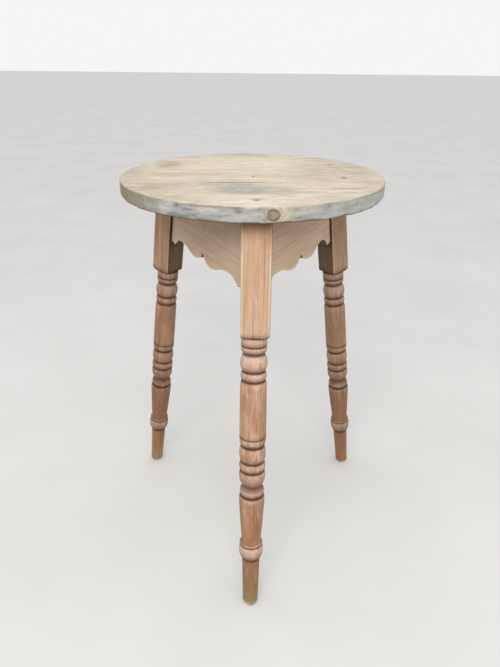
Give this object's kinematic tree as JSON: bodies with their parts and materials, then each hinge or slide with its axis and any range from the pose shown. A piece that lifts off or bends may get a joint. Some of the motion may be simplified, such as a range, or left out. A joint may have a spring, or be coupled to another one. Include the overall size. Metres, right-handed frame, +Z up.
{
  "type": "cricket table",
  "caption": "Round wooden side table: a plank top on splayed, baluster-turned legs with square heads, joined under the top by aprons with a scalloped lower edge.",
  "frame": {"origin": "on the floor, in the middle of the box that the table takes up", "axes": "+Z up, -Y towards the front leg, +X to the right as seen from the front"},
  "size_m": [0.4908, 0.4972, 0.724],
  "materials": {
    "board_wood": "bare, bleached and weathered softwood with grey streaks",
    "leg_wood": "stripped softwood, pinkish tan, worn lighter on the edges, dark in the turned grooves",
    "apron_wood": "stripped softwood, brown, dull",
    "block_wood": "bare softwood, unfinished",
    "iron": "wrought, dark, lightly rusted"
  },
  "bodies": {
    "root": {"top_board_front": "board_wood", "top_board_back": "board_wood", "leg_front": "leg_wood", "leg_back_right": "leg_wood", "leg_back_left": "leg_wood", "apron_left": "apron_wood", "apron_right": "apron_wood", "apron_back": "apron_wood", "glue_block_left_1": "block_wood", "glue_block_left_2": "block_wood", "glue_block_right_1": "block_wood", "glue_block_right_2": "block_wood", "glue_block_back_1": "block_wood", "glue_block_back_2": "block_wood", "nail_front": "iron", "nail_back_right": "iron", "nail_back_left": "iron"}
  },
  "joints": []
}
